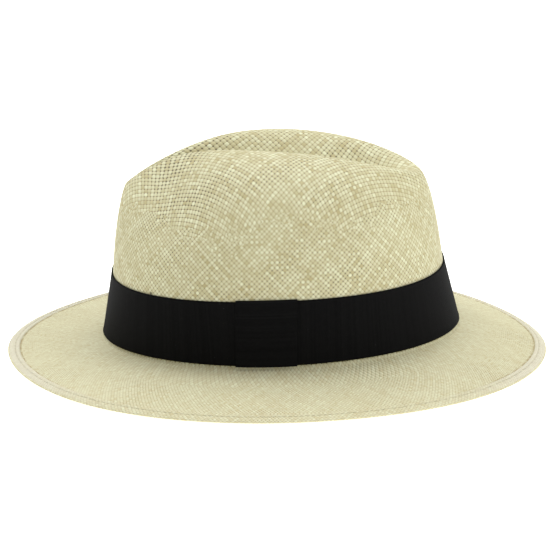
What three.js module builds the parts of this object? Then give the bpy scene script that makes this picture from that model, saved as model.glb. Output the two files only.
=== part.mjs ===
// Panama hat, built as it comes apart on a bench: the woven straw body, the threads of its
// stitched hem, the ribbon band with its knot and tacks, and the sweatband with its reed,
// seam thread, bow and size label.
//
// Millimetres, +Z up. The hat stands on its brim at z = 0. Its front points along -X and the
// wearer's left side, which carries the knot, along -Y. The angle theta runs round the hat
// from the back (+X) through the right side (+Y) to the front.

import * as THREE from 'three';

// ---------------------------------------------------------------- driving dimensions

const SEGMENTS = 60;            // facets round the hat
const DEGREE = Math.PI / 180;
const GAP = 0.3;                // clearance between pieces that touch

const STRAW_THICKNESS = 1.2;    // one layer of woven straw
const HEM_WIDTH = 6.3;          // straw folded back over the brim's edge
const HEM_LAYER = 0.8;          // the layer on top of the brim, pressed flat
const HEM_STEP = 0.3;           // width of the step at the fold's inner boundary
const SEAM_INSET = 3.6;         // from the brim's edge to the hem's stitches
const FOLD_ROUNDING = 0.6;      // how far the fold's corners are taken back

const BRIM_HALF_LENGTH = 157.5;
const BRIM_HALF_WIDTH = 141.1;
const BRIM_POWER = 1.9;         // 2 is an ellipse; less draws the ends finer
const BRIM_EDGE_RISE = 3.1;     // mean height of the brim's edge over the ground
const BRIM_WAVES = [0.7, -1.9, -0.7, 0.5];  // its rise and fall, once to four times round

const BAND_WIDTH = 38;
const BAND_THICKNESS = 0.6;
const BAND_TILT = 2.17;         // degrees, the crown tips forward over the level brim
const BAND_FOOT_HEIGHT = 14.1;  // lower edge of the band at the middle of the hat
const BAND_MIDDLE = 1.7;        // where along the hat that is
const BAND_DIP = 0.8;           // the band's edges dip at the front and back

// The oval of the straw at the foot of the band, and at its top.
const FOOT = { halfLength: 104.0, halfWidth: 82.2, centre: 2.4, power: 1.95 };
const NECK = { halfLength: 95.7, halfWidth: 84.6, centre: 0.4, power: 2.15 };

const RIDGE_HEIGHT = 122.5;     // the crown's highest line
const RIDGE_PEAK = -6.3;        // where along the hat it peaks
const RIDGE_CENTRE = -2.4;      // middle of the loop that the ridge draws from above
const RIDGE_REACH = 84;         // half its length
const RIDGE_HALF_WIDTH = 33;    // widest half distance between the two ridges
const RIDGE_WIDEST = 31.7;      // where along the hat the ridges are widest apart
const RIDGE_FALL = {            // how far the ridges drop ahead of the peak and behind it
  ahead: { drop: 24, reach: 80, power: 2.58 },
  behind: { drop: 16.5, reach: 88, power: 2.07 },
};
const RIDGE_FRONT_TAPER = { reach: 77.7, power: 3.2 };
const RIDGE_BACK_POWER = 2.2;   // roundness of the ridge's loop at the back
const RIDGE_END_ROUNDING = 0.1; // rounds the loop's ends, as a share of its width
const CREASE_REACH = 55;        // half the length of the crease's floor
const CREASE_DEPTH = 20;        // centre crease below the ridges
const CREASE_FRONT = -76;       // where along the hat the crease runs out, and
const CREASE_FRONT_RAMP = 50;   // the length over which it reaches its depth
const CREASE_BACK = 81.6;
const CREASE_BACK_RAMP = 38;
const PINCH_DEPTH = 7;          // front pinches, pressed into the wall
const PINCH_ANGLE = 47;         // degrees each side of the front
const PINCH_SPREAD = 20;        // degrees
const PINCH_RISE = 0.8;         // under 1 the pinch is deepest above the middle of the wall

// The shoulder's reach as a share of the way out to the band: at the ends of the hat, what
// the sides add and what the pinches take off.
const SHOULDER = { ends: 0.35, sides: 0.2, pinch: 0.18 };
// The wall's lean where it meets the band: at the sides, what the ends add, and what the back
// adds and the front takes off.
const WALL_LEAN = { sides: 0.05, ends: 0.06, back: 0.04 };
const WALL_STAND = 0.56;        // how much of its height the wall stays straight

const KNOT_MIDDLE = -5.5;       // where along the hat, on the wearer's left
const KNOT_WIDTH = 33;
const KNOT_THICKNESS = 1.4;     // the ribbon, folded to two layers
const KNOT_OVERHANG = 0.5;      // beyond the band's edges, top and bottom
const TACK_ANGLES = [20, 90, 160, 225];
const TACK_LENGTH = 2.4;
const TACK_SECTION = 0.5;

const SWEATBAND_WIDTH = 32;
const SWEATBAND_THICKNESS = 0.9;
const SWEATBAND_INSET = 1.2;    // room behind it for the size label
const REED_DIAMETER = 2.2;
const THREAD = 0.4;
const BOW_SPAN = 18;
const BOW_HEIGHT = 7;
const BOW_THICKNESS = 1.2;
const LABEL_LENGTH = 20;
const LABEL_HEIGHT = 12;
const LABEL_THICKNESS = 0.3;

// ---------------------------------------------------------------- materials

function material(color, roughness, metalness = 0) {
  return new THREE.MeshStandardMaterial({ color, roughness, metalness });
}

const straw = material(0xd9d3b2, 0.72);
const strawThread = material(0xe4dec2, 0.6);
const ribbon = material(0x131214, 0.78);
const blackThread = material(0x0c0c0d, 0.6);
const leather = material(0xb98f62, 0.5);
const reedLeather = material(0xa67e55, 0.5);
const seamThread = material(0xd8c7a4, 0.6);
const satin = material(0x1a191b, 0.4);
const label = material(0xf1eee6, 0.7);

// ---------------------------------------------------------------- helpers

const UP = new THREE.Vector3(0, 0, 1);

function vec(x, y, z) {
  return new THREE.Vector3(x, y, z);
}

function smoothstep(edge0, edge1, value) {
  return THREE.MathUtils.smoothstep(value, edge0, edge1);
}

// cos and sin raised for a superellipse, keeping their signs.
function oval(theta, power) {
  const c = Math.cos(theta);
  const s = Math.sin(theta);
  return {
    c: Math.sign(c) * Math.abs(c) ** (2 / power),
    s: Math.sign(s) * Math.abs(s) ** (2 / power),
  };
}

function bezier(points, t) {
  return new THREE.CubicBezierCurve3(...points).getPoint(t);
}

// Horizontal unit vector from one point towards another.
function heading(from, to) {
  return vec(to.x - from.x, to.y - from.y, 0).normalize();
}

// ---------------------------------------------------------------- the straw's outer surface

// Height of the tilted head line, where the lower edge of the band runs.
function headLine(x, theta) {
  return BAND_FOOT_HEIGHT
    + (x - BAND_MIDDLE) * Math.tan(BAND_TILT * DEGREE)
    - BAND_DIP * Math.cos(2 * theta);
}

function footPoint(theta) {
  const { c, s } = oval(theta, FOOT.power);
  const x = FOOT.centre + FOOT.halfLength * c;
  return vec(x, FOOT.halfWidth * s, headLine(x, theta));
}

function neckPoint(theta) {
  const { c, s } = oval(theta, NECK.power);
  const x = NECK.centre + NECK.halfLength * c;
  return vec(x, NECK.halfWidth * s, headLine(x, theta) + BAND_WIDTH);
}

// The brim's edge dips at the front and back and lifts at the sides.
function edgePoint(theta) {
  const { c, s } = oval(theta, BRIM_POWER);
  const waves = BRIM_WAVES.map((height, i) => height * Math.cos((i + 1) * theta));
  const z = waves.reduce((sum, wave) => sum + wave, BRIM_EDGE_RISE);
  return vec(BRIM_HALF_LENGTH * c, BRIM_HALF_WIDTH * s, z);
}

// Height of the ridges along the hat: they peak over the middle and fall to both ends.
function ridgeHeight(x) {
  const fall = x < RIDGE_PEAK ? RIDGE_FALL.ahead : RIDGE_FALL.behind;
  const away = Math.abs(x - RIDGE_PEAK) / fall.reach;
  return RIDGE_HEIGHT - fall.drop * away ** fall.power;
}

// Slope of that line along +X.
function ridgeSlope(x) {
  const step = 0.5;
  return (ridgeHeight(x + step) - ridgeHeight(x - step)) / (2 * step);
}

// Half distance between the ridges: a teardrop with its point at the front.
function ridgeHalfWidth(x) {
  const behind = x - RIDGE_WIDEST;
  const taper = RIDGE_FRONT_TAPER;
  if (behind < 0) return RIDGE_HALF_WIDTH * Math.exp(-((-behind / taper.reach) ** taper.power));
  const reach = RIDGE_CENTRE + RIDGE_REACH - RIDGE_WIDEST;
  const inside = Math.max(0, 1 - (behind / reach) ** RIDGE_BACK_POWER);
  return RIDGE_HALF_WIDTH * inside ** (1 / RIDGE_BACK_POWER);
}

// Depth of the crease's floor below the ridges.
function creaseDepth(x) {
  const front = smoothstep(CREASE_FRONT, CREASE_FRONT + CREASE_FRONT_RAMP, x);
  const back = 1 - smoothstep(CREASE_BACK - CREASE_BACK_RAMP, CREASE_BACK, x);
  return CREASE_DEPTH * front * back;
}

// The top of the crown between the ridges, level across both ridges and across the floor.
function crownTop(x, y) {
  const share = Math.min(1, Math.abs(y) / Math.max(ridgeHalfWidth(x), 0.01));
  const down = creaseDepth(x) * (1 + Math.cos(Math.PI * share)) / 2;
  return vec(x, y, ridgeHeight(x) - down);
}

function ridgePoint(theta) {
  const x = RIDGE_CENTRE + RIDGE_REACH * Math.cos(theta);
  const s = Math.sin(theta);
  return crownTop(x, ridgeHalfWidth(x) * s / Math.hypot(s, RIDGE_END_ROUNDING));
}

function creasePoint(theta, t) {
  const floorX = RIDGE_CENTRE + CREASE_REACH * Math.cos(theta);
  const ridge = ridgePoint(theta);
  return crownTop(floorX + (ridge.x - floorX) * t, ridge.y * t);
}

// From the ridge over the shoulder and down the wall to the top of the band.
function wallPoint(theta, t) {
  const ridge = ridgePoint(theta);
  const neck = neckPoint(theta);
  const out = heading(ridge, neck);
  const reach = Math.hypot(neck.x - ridge.x, neck.y - ridge.y);
  const rise = ridge.z - neck.z;
  const side = Math.sin(theta) ** 2;
  const fromFront = Math.abs(theta - Math.PI) / DEGREE;
  const pinch = Math.exp(-(((fromFront - PINCH_ANGLE) / PINCH_SPREAD) ** 2));

  const shoulder = reach * (SHOULDER.ends + SHOULDER.sides * side - SHOULDER.pinch * pinch);
  const leave = vec(out.x, out.y, ridgeSlope(ridge.x) * out.x).multiplyScalar(shoulder);
  const back = Math.cos(theta);
  const lean = WALL_LEAN.sides + WALL_LEAN.ends * back ** 2 + WALL_LEAN.back * back;
  const arrive = vec(-out.x * lean, -out.y * lean, 1).multiplyScalar(WALL_STAND * rise);
  const point = bezier([ridge, ridge.clone().add(leave), neck.clone().add(arrive), neck], t);
  const hollow = PINCH_DEPTH * pinch * Math.sin(Math.PI * t ** PINCH_RISE) ** 2;
  return point.addScaledVector(out, -hollow);
}

function bandPoint(theta, t) {
  return neckPoint(theta).lerp(footPoint(theta), t);
}

const BREAK_DROP = 1.7;         // the straw turns from the wall into the brim in this height
const BREAK_REACH = 1.9;        // and in this width

// From the foot of the band through the tight break and out over the brim.
function brimPoint(theta, t) {
  const foot = footPoint(theta);
  const edge = edgePoint(theta);
  const out = heading(foot, edge);
  const start = foot.clone().addScaledVector(UP, -GAP);
  const turn = start.clone().addScaledVector(out, BREAK_REACH).addScaledVector(UP, -BREAK_DROP);
  const fall = edge.clone().sub(turn);
  const reach = Math.hypot(fall.x, fall.y);
  const slope = fall.z / reach;
  const slant = (share) => vec(out.x, out.y, slope * share);
  if (t < 0.1) {
    const corner = start.clone().addScaledVector(UP, -0.7 * BREAK_DROP);
    const beforeTurn = turn.clone().addScaledVector(slant(0.7), -0.7 * BREAK_REACH);
    return bezier([start, corner, beforeTurn, turn], t / 0.1);
  }
  const afterTurn = turn.clone().addScaledVector(slant(0.7), 0.33 * reach);
  const beforeEdge = edge.clone().addScaledVector(slant(1.25), -0.33 * reach);
  return bezier([turn, afterTurn, beforeEdge, edge], (t - 0.1) / 0.9);
}

// The whole meridian: 0 on the crease's floor, 1 on the ridge, 2 at the top of the band,
// 3 at its foot and 4 at the brim's edge.
function strawPoint(theta, u) {
  if (u < 1) return creasePoint(theta, u);
  if (u < 2) return wallPoint(theta, u - 1);
  if (u < 3) return bandPoint(theta, u - 2);
  return brimPoint(theta, Math.min(1, u - 3));
}

// Outward normal of that surface.
function strawNormal(theta, u) {
  const step = 0.02;
  const along = strawPoint(theta, Math.min(4, u + step))
    .sub(strawPoint(theta, Math.max(0, u - step)));
  const round = strawPoint(theta + step, u).sub(strawPoint(theta - step, u));
  return along.cross(round).normalize();
}

// A point a given depth under the outer surface, or above it if the depth is negative.
function under(theta, u, depth) {
  if (u === 0) return strawPoint(theta, 0).addScaledVector(UP, -depth);
  return strawPoint(theta, u).addScaledVector(strawNormal(theta, u), -depth);
}

// Share of the meridian at which a given width of brim is left outside it.
function insideEdge(theta, width) {
  const edge = edgePoint(theta);
  const foot = footPoint(theta);
  const reach = Math.hypot(edge.x - foot.x, edge.y - foot.y) - BREAK_REACH;
  return 4 - 0.9 * width / reach;
}

// ---------------------------------------------------------------- meshes

// Closed skin over rows of points. Each row is a closed loop; the rows follow one another
// round the hat. Rows that don't close into a ring get a cap at each end.
function loftRows(rows, ring) {
  const positions = rows.flat().flatMap((p) => [p.x, p.y, p.z]);
  const count = rows[0].length;
  const triangles = [];
  const last = ring ? rows.length : rows.length - 1;
  for (let i = 0; i < last; i += 1) {
    const here = i * count;
    const next = ((i + 1) % rows.length) * count;
    for (let j = 0; j < count; j += 1) {
      const k = (j + 1) % count;
      triangles.push(here + j, next + j, next + k, here + j, next + k, here + k);
    }
  }
  if (!ring) {
    const end = (rows.length - 1) * count;
    for (let j = 1; j < count - 1; j += 1) {
      triangles.push(0, j, j + 1, end, end + j + 1, end + j);
    }
  }
  return indexed(positions, triangles);
}

function indexed(positions, triangles) {
  const geometry = new THREE.BufferGeometry();
  geometry.setAttribute('position', new THREE.Float32BufferAttribute(positions, 3));
  geometry.setIndex(triangles);
  geometry.computeVertexNormals();
  return geometry;
}

function named(name, geometry, surface) {
  const mesh = new THREE.Mesh(geometry, surface);
  mesh.name = name;
  return mesh;
}

function angles(from, to, steps) {
  return Array.from({ length: steps + 1 }, (_, i) => (from + (to - from) * i / steps) * DEGREE);
}

function fullTurn() {
  return angles(0, 360, SEGMENTS).slice(0, SEGMENTS);
}

// ---------------------------------------------------------------- straw body

// Places along the meridian where the straw body has a row of vertices.
function strawStations(theta) {
  const crease = [0, 0.25, 0.5, 0.75, 1];
  const wall = [1.08, 1.18, 1.3, 1.43, 1.57, 1.72, 1.87];
  const band = [2, 3];
  const brim = [3.05, 3.1, 3.32, 3.6];
  return [...crease, ...wall, ...band, ...brim, insideEdge(theta, HEM_WIDTH)];
}

// One meridian: along the outer surface, up over the layer that is folded back on top of the
// brim, round its edge and back along the inner surface.
function strawMeridian(theta) {
  const stations = strawStations(theta);
  const outer = stations.map((u) => strawPoint(theta, u));
  const onStep = insideEdge(theta, HEM_WIDTH - HEM_STEP);
  const nearEdge = insideEdge(theta, FOLD_ROUNDING);
  const fold = [
    under(theta, onStep, -HEM_LAYER),
    under(theta, nearEdge, -HEM_LAYER),
    under(theta, 4, (STRAW_THICKNESS - HEM_LAYER) / 2),
    under(theta, nearEdge, STRAW_THICKNESS),
  ];
  const inner = stations.reverse().map((u) => under(theta, u, STRAW_THICKNESS));
  return [...outer, ...fold, ...inner];
}

// The two halves of the crown meet along the floor of the crease, so the rows on either side
// of the hat share their first and last points there.
function strawBody() {
  const rows = fullTurn().map(strawMeridian);
  const count = rows[0].length;
  const positions = rows.flat().flatMap((p) => [p.x, p.y, p.z]);
  const at = (i, j) => {
    const row = i % SEGMENTS;
    const onFloor = j === 0 || j === count - 1;
    return (onFloor ? Math.min(row, SEGMENTS - row) : row) * count + j;
  };
  const triangles = [];
  for (let i = 0; i < SEGMENTS; i += 1) {
    for (let j = 0; j < count - 1; j += 1) {
      triangles.push(at(i, j), at(i, j + 1), at(i + 1, j + 1));
      triangles.push(at(i, j), at(i + 1, j + 1), at(i + 1, j));
    }
  }
  return named('straw_body', indexed(positions, triangles), straw);
}

// ---------------------------------------------------------------- hem threads

// A line of thread round the brim along the middle of the hem, over or under the straw.
function hemThread(name, depth) {
  const rows = fullTurn().map((theta) => {
    const inner = insideEdge(theta, SEAM_INSET + THREAD / 2);
    const outer = insideEdge(theta, SEAM_INSET - THREAD / 2);
    return [
      under(theta, inner, depth + THREAD),
      under(theta, outer, depth + THREAD),
      under(theta, outer, depth),
      under(theta, inner, depth),
    ];
  });
  return named(name, loftRows(rows, true), strawThread);
}

// ---------------------------------------------------------------- band, knot and tacks

// A strip against the band's zone of the crown, between one angle at the neck and one at the
// foot. Depths are measured outwards from the straw; lift and drop take it past the band's
// upper and lower edges.
function bandStrip([neckTheta, footTheta], inner, outer, lift = 0, drop = 0) {
  const neck = neckPoint(neckTheta);
  const foot = footPoint(footTheta);
  const normal = strawNormal((neckTheta + footTheta) / 2, 2.5);
  const down = foot.clone().sub(neck).normalize();
  const top = neck.addScaledVector(down, -lift);
  const bottom = foot.addScaledVector(down, drop);
  return [
    top.clone().addScaledVector(normal, outer),
    top.clone().addScaledVector(normal, inner),
    bottom.clone().addScaledVector(normal, inner),
    bottom.clone().addScaledVector(normal, outer),
  ];
}

// Angle on the wearer's left at which an oval passes a place along the hat.
function leftAngle(x, { halfLength, centre, power }) {
  const share = (x - centre) / halfLength;
  return 2 * Math.PI - Math.acos(Math.sign(share) * Math.abs(share) ** (power / 2));
}

function uprightAt(x) {
  return [leftAngle(x, NECK), leftAngle(x, FOOT)];
}

// The ribbon goes once round and its ends meet under the knot.
function hatBand() {
  const [neckStart, footStart] = uprightAt(KNOT_MIDDLE + 0.3);
  const [neckEnd, footEnd] = uprightAt(KNOT_MIDDLE - 0.3);
  const rows = Array.from({ length: SEGMENTS + 1 }, (_, i) => {
    const share = i / SEGMENTS;
    const turn = [
      THREE.MathUtils.lerp(neckStart, neckEnd + 2 * Math.PI, share),
      THREE.MathUtils.lerp(footStart, footEnd + 2 * Math.PI, share),
    ];
    return bandStrip(turn, GAP, GAP + BAND_THICKNESS);
  });
  return named('hat_band', loftRows(rows, false), ribbon);
}

function bandKnot() {
  const steps = 6;
  const inner = 2 * GAP + BAND_THICKNESS;
  const rows = Array.from({ length: steps + 1 }, (_, i) => {
    const turn = uprightAt(KNOT_MIDDLE + KNOT_WIDTH * (i / steps - 0.5));
    return bandStrip(turn, inner, inner + KNOT_THICKNESS, KNOT_OVERHANG, 0);
  });
  return named('band_knot', loftRows(rows, false), ribbon);
}

// A short bar of thread standing on the straw just above the band.
function bandTack(name, degrees) {
  const halfSpan = TACK_LENGTH / 2 / NECK.halfWidth / DEGREE;
  const turn = angles(degrees - halfSpan, degrees + halfSpan, 1);
  const rows = turn.map((theta) => {
    const lift = GAP + TACK_SECTION;
    const [topOut, topIn] = bandStrip([theta, theta], GAP, GAP + TACK_SECTION, lift);
    const lower = vec(0, 0, -TACK_SECTION);
    return [topOut, topIn, topIn.clone().add(lower), topOut.clone().add(lower)];
  });
  return named(name, loftRows(rows, false), blackThread);
}

// ---------------------------------------------------------------- sweatband and its fittings

// Point inside the crown, a given height above the head line and a given distance in from
// the straw's inner surface.
function insidePoint(theta, height, inset) {
  const u = 3 - height / BAND_WIDTH;
  return under(theta, u, STRAW_THICKNESS + inset);
}

// A strip standing inside the crown between two heights and two insets.
function insideStrip(theta, low, high, near, far) {
  return [
    insidePoint(theta, high, near),
    insidePoint(theta, high, far),
    insidePoint(theta, low, far),
    insidePoint(theta, low, near),
  ];
}

const SWEATBAND_FACE = SWEATBAND_INSET + SWEATBAND_THICKNESS;

// The leather goes once round and its ends meet at the back.
function sweatband() {
  const join = 0.25;
  const turn = angles(join, 360 - join, SEGMENTS);
  const rows = turn.map((theta) =>
    insideStrip(theta, 1, 1 + SWEATBAND_WIDTH, SWEATBAND_INSET, SWEATBAND_FACE));
  return named('sweatband', loftRows(rows, false), leather);
}

// The reed is a stiff cord in a turn of the leather, along the lower edge.
function sweatbandReed() {
  const sides = 8;
  const radius = REED_DIAMETER / 2;
  const rows = fullTurn().map((theta) => {
    const middle = insidePoint(theta, 1 - GAP - radius, SWEATBAND_INSET + 0.6);
    const inwards = heading(middle, vec(0, 0, 0));
    return Array.from({ length: sides }, (_, k) => {
      const turn = 2 * Math.PI * k / sides;
      return middle.clone()
        .addScaledVector(inwards, -radius * Math.cos(turn))
        .addScaledVector(UP, radius * Math.sin(turn));
    });
  });
  return named('sweatband_reed', loftRows(rows, true), reedLeather);
}

function sweatbandThread() {
  const low = 3;
  const near = SWEATBAND_FACE + GAP;
  const rows = fullTurn().map((theta) =>
    insideStrip(theta, low, low + THREAD, near, near + THREAD));
  return named('sweatband_thread', loftRows(rows, true), seamThread);
}

// The bow covers the sweatband's join at the back.
function sweatbandBow() {
  const low = 5;
  const near = SWEATBAND_FACE + GAP;
  const halfTurn = BOW_SPAN / 2 / FOOT.halfWidth / DEGREE;
  const rows = angles(-halfTurn, halfTurn, 6).map((theta) =>
    insideStrip(theta, low, low + BOW_HEIGHT, near, near + BOW_THICKNESS));
  return named('sweatband_bow', loftRows(rows, false), satin);
}

// The label is tucked between the sweatband and the straw.
function sizeLabel() {
  const low = 12;
  const middle = 14;
  const near = (SWEATBAND_INSET - LABEL_THICKNESS) / 2;
  const halfTurn = LABEL_LENGTH / 2 / FOOT.halfWidth / DEGREE;
  const rows = angles(middle - halfTurn, middle + halfTurn, 6).map((theta) =>
    insideStrip(theta, low, low + LABEL_HEIGHT, near, near + LABEL_THICKNESS));
  return named('size_label', loftRows(rows, false), label);
}

// ---------------------------------------------------------------- the hat

const hat = new THREE.Group();
hat.add(strawBody());
hat.add(hemThread('hem_thread_top', -HEM_LAYER - GAP - THREAD));
hat.add(hemThread('hem_thread_under', STRAW_THICKNESS + GAP));
hat.add(hatBand());
hat.add(bandKnot());
TACK_ANGLES.forEach((degrees, i) => hat.add(bandTack(`band_tack_${i + 1}`, degrees)));
hat.add(sweatband());
hat.add(sweatbandReed());
hat.add(sweatbandThread());
hat.add(sweatbandBow());
hat.add(sizeLabel());

export default hat;
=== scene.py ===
"""Panama hat: the looks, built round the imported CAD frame.

Metres, +Z up, the hat standing on its brim. Its front points along -X and the wearer's left
side along -Y. theta runs round the hat from the back (+X) through the right side (+Y). Every
surface below follows the CAD one: the same ovals, ridges and brim, in metres.
"""

import math

import bpy
import numpy as np
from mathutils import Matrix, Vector


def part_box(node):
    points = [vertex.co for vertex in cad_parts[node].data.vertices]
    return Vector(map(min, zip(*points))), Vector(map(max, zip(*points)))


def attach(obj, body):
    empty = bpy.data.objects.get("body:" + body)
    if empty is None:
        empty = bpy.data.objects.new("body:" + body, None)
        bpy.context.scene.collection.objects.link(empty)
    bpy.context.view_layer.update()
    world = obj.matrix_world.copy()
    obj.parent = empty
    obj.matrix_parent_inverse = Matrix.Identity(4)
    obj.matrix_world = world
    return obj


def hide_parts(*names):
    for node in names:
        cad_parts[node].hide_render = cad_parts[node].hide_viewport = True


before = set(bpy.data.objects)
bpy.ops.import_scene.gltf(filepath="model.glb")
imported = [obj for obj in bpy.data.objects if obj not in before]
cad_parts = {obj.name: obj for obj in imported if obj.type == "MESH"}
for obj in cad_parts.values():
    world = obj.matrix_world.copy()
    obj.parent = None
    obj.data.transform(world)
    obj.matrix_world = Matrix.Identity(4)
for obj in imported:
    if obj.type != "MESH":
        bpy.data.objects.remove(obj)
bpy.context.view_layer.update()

MM = 0.001
SCENE = bpy.context.scene

# ---------------- camera


def make_camera(elevation, distance, target, lens):
    """A level camera that looks along +Y and down on the hat's left side."""
    data = bpy.data.cameras.new("camera")
    data.lens = lens
    camera = bpy.data.objects.new("camera", data)
    bpy.context.collection.objects.link(camera)
    tilt = math.radians(elevation)
    back = Vector((0, -math.cos(tilt), math.sin(tilt)))
    camera.location = Vector(target) + back * distance
    camera.rotation_euler = (math.pi / 2 - tilt, 0, 0)
    SCENE.camera = camera


make_camera(elevation=16.5, distance=1.0, target=(0.0017, 0, 0.0394), lens=109.7)

# ---------------- the hat's own dimensions

STRAW = 1.2 * MM                # one layer of woven straw
HEM_WIDTH = 6.3 * MM            # straw folded back over the brim's edge
HEM_LAYER = 0.8 * MM            # the layer on top of the brim, pressed flat
SEAM_INSET = 3.6 * MM           # from the brim's edge to the hem's stitches
GAP = 0.3 * MM                  # clearance between pieces that touch

EDGE = {"half_length": 157.5 * MM, "half_width": 141.1 * MM, "centre": 0.0, "power": 1.9}
EDGE_RISE = 3.1 * MM            # mean height of the brim's edge over the ground
EDGE_WAVES = (0.7 * MM, -1.9 * MM, -0.7 * MM, 0.5 * MM)  # its waves, one to four times round
BREAK_DROP = 1.7 * MM           # the tight bend between the crown and the brim
BREAK_REACH = 1.9 * MM
BREAK_SHARE = 0.1               # of the way from the band's foot to the brim's edge
BREAK_FULLNESS = 0.7
BRIM_SLOPE = {"start": 0.7, "end": 1.25}    # of the brim's mean slope
BRIM_ARM = 0.33                 # how far each end's slope holds, as a share of the brim

BAND_WIDTH = 38 * MM
BAND_TILT = math.tan(math.radians(2.17))    # the crown tips forward over the level brim
BAND_FOOT_HEIGHT = 14.1 * MM    # lower edge of the band at the middle of the hat
BAND_MIDDLE = 1.7 * MM          # where along the hat that is
BAND_DIP = 0.8 * MM             # the band's edges dip at the front and back

# The oval of the straw at the foot of the band, and at its top.
FOOT = {"half_length": 104 * MM, "half_width": 82.2 * MM, "centre": 2.4 * MM, "power": 1.95}
NECK = {"half_length": 95.7 * MM, "half_width": 84.6 * MM, "centre": 0.4 * MM, "power": 2.15}

RIDGE_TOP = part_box("straw_body")[1][2]
RIDGE_PEAK = -6.3 * MM          # where along the hat the ridges peak
RIDGE_CENTRE = -2.4 * MM        # middle of the loop that the ridge draws from above
RIDGE_REACH = 84 * MM           # half its length
RIDGE_HALF_WIDTH = 33 * MM      # widest half distance between the two ridges
RIDGE_WIDEST = 31.7 * MM        # where along the hat the ridges are widest apart
RIDGE_FALL = {                  # how far the ridges drop ahead of the peak and behind it
    "ahead": {"drop": 24 * MM, "reach": 80 * MM, "power": 2.58},
    "behind": {"drop": 16.5 * MM, "reach": 88 * MM, "power": 2.07},
}
RIDGE_FRONT_TAPER = {"reach": 77.7 * MM, "power": 3.2}
RIDGE_BACK_POWER = 2.2          # roundness of the ridge's loop at the back
RIDGE_END_ROUNDING = 0.1        # rounds the loop's ends, as a share of its width
CREASE_REACH = 55 * MM          # half the length of the crease's floor
CREASE_DEPTH = 20 * MM          # centre crease below the ridges
CREASE_FRONT = -76 * MM         # where along the hat the crease runs out, and
CREASE_FRONT_RAMP = 50 * MM     # the length over which it reaches its depth
CREASE_BACK = 81.6 * MM
CREASE_BACK_RAMP = 38 * MM
PINCH_DEPTH = 7 * MM            # front pinches, pressed into the wall
PINCH_ANGLE = 47                # degrees each side of the front
PINCH_SPREAD = 20               # degrees
PINCH_RISE = 0.8                # under 1 the pinch is deepest above the middle of the wall

# The shoulder's reach as a share of the way out to the band: at the ends of the hat, what
# the sides add and what the pinches take off.
SHOULDER = {"ends": 0.35, "sides": 0.2, "pinch": 0.18}
# The wall's lean where it meets the band: at the sides, what the ends add, and what the back
# adds and the front takes off.
WALL_LEAN = {"sides": 0.05, "ends": 0.06, "back": 0.04}
WALL_STAND = 0.56               # how much of its height the wall stays straight
SLOPE_STEP = 0.5 * MM           # each way, to measure the ridge's slope


def smooth(lo, hi, x):
    t = np.clip((x - lo) / (hi - lo), 0, 1)
    return t * t * (3 - 2 * t)


def circle(count):
    """Angles once round the hat."""
    return np.arange(count) * 2 * math.pi / count


def power_of(c, power):
    return np.sign(c) * np.abs(c) ** power


def oval(theta, shape):
    """x and y on one of the hat's ovals. Power 2 draws an ellipse and more a fuller one."""
    power = 2 / shape["power"]
    x = shape["centre"] + shape["half_length"] * power_of(np.cos(theta), power)
    return x, shape["half_width"] * power_of(np.sin(theta), power)


def point(x, y, z):
    return np.stack(np.broadcast_arrays(x, y, z), -1)


def unit(v):
    return v / np.maximum(np.linalg.norm(v, axis=-1, keepdims=True), 1e-12)


def bezier(a, b, c, d, t):
    r = 1 - t
    return a * r**3 + b * (3 * r * r * t) + c * (3 * r * t * t) + d * t**3


def head_line(x, theta):
    """Height of the band's lower edge."""
    return BAND_FOOT_HEIGHT + (x - BAND_MIDDLE) * BAND_TILT - BAND_DIP * np.cos(2 * theta)


def foot(theta):
    """The straw's outside at the lower edge of the band."""
    x, y = oval(theta, FOOT)
    return point(x, y, head_line(x, theta))


def neck(theta):
    """The straw's outside at the upper edge of the band."""
    x, y = oval(theta, NECK)
    return point(x, y, head_line(x, theta) + BAND_WIDTH)


def edge(theta):
    """The brim's edge, low at the front and back and lifted at the sides."""
    x, y = oval(theta, EDGE)
    waves = [size * np.cos(times * theta) for times, size in enumerate(EDGE_WAVES, 1)]
    return point(x, y, EDGE_RISE + sum(waves))


def ridge_height(x):
    height = RIDGE_TOP
    for way, fall in ((-1, RIDGE_FALL["ahead"]), (1, RIDGE_FALL["behind"])):
        share = np.maximum((x - RIDGE_PEAK) * way, 0) / fall["reach"]
        height = height - fall["drop"] * share ** fall["power"]
    return height


def ridge_half_width(x):
    behind = x - RIDGE_WIDEST
    taper = np.maximum(-behind, 0) / RIDGE_FRONT_TAPER["reach"]
    front = np.exp(-(taper ** RIDGE_FRONT_TAPER["power"]))
    reach = RIDGE_CENTRE + RIDGE_REACH - RIDGE_WIDEST
    left = np.maximum(0, 1 - (np.maximum(behind, 0) / reach) ** RIDGE_BACK_POWER)
    return RIDGE_HALF_WIDTH * front * left ** (1 / RIDGE_BACK_POWER)


def crown_top(x, y):
    """The top of the crown between its ridges, with the centre crease."""
    share = np.minimum(1, np.abs(y) / np.maximum(ridge_half_width(x), 0.01 * MM))
    opens = smooth(CREASE_FRONT, CREASE_FRONT + CREASE_FRONT_RAMP, x)
    opens = opens * (1 - smooth(CREASE_BACK - CREASE_BACK_RAMP, CREASE_BACK, x))
    down = CREASE_DEPTH * opens * (1 + np.cos(np.pi * share)) / 2
    return point(x, y, ridge_height(x) - down)


def ridge(theta):
    x = RIDGE_CENTRE + RIDGE_REACH * np.cos(theta)
    s = np.sin(theta)
    return crown_top(x, ridge_half_width(x) * s / np.hypot(s, RIDGE_END_ROUNDING))


def crease(theta, t):
    """From the crease's floor up to the ridge, t from 0 to 1."""
    floor_x = RIDGE_CENTRE + CREASE_REACH * np.cos(theta)
    top = ridge(theta)
    return crown_top(floor_x + (top[..., 0] - floor_x) * t, top[..., 1] * t)


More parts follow.
